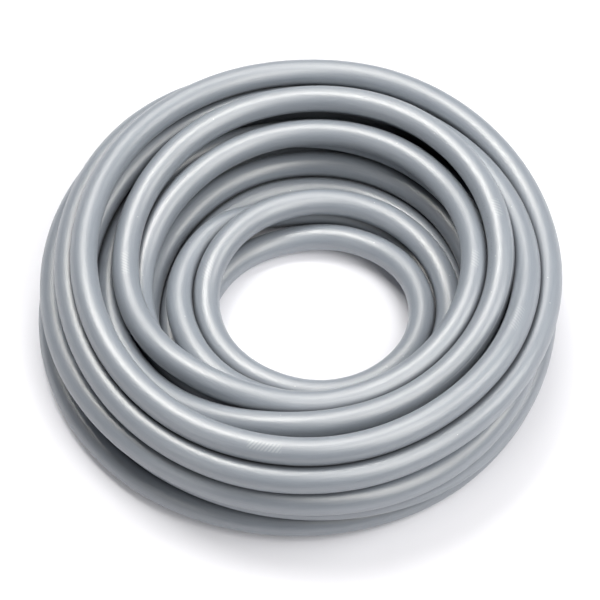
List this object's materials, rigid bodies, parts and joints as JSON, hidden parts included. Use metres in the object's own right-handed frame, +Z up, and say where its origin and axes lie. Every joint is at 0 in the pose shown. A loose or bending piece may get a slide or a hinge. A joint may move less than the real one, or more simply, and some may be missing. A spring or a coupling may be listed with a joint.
{
  "type": "coiled drain hose",
  "caption": "Plain smooth-walled flexible drain hose, wound into a thick loose coil that lies flat, with two bare cut ends.",
  "frame": {"origin": "on the floor, under the middle of the object's box", "axes": "+Z up, along the coil's axis; the outer end lies along the +Y side and points to +X"},
  "size_m": [0.496, 0.506, 0.123],
  "materials": {
    "hose_pvc": "soft semi-gloss blue-grey PVC, smooth, with faint lengthwise streaks"
  },
  "bodies": {
    "root": {"hose_coil": "hose_pvc", "outer_end": "hose_pvc", "inner_end": "hose_pvc"}
  },
  "joints": []
}
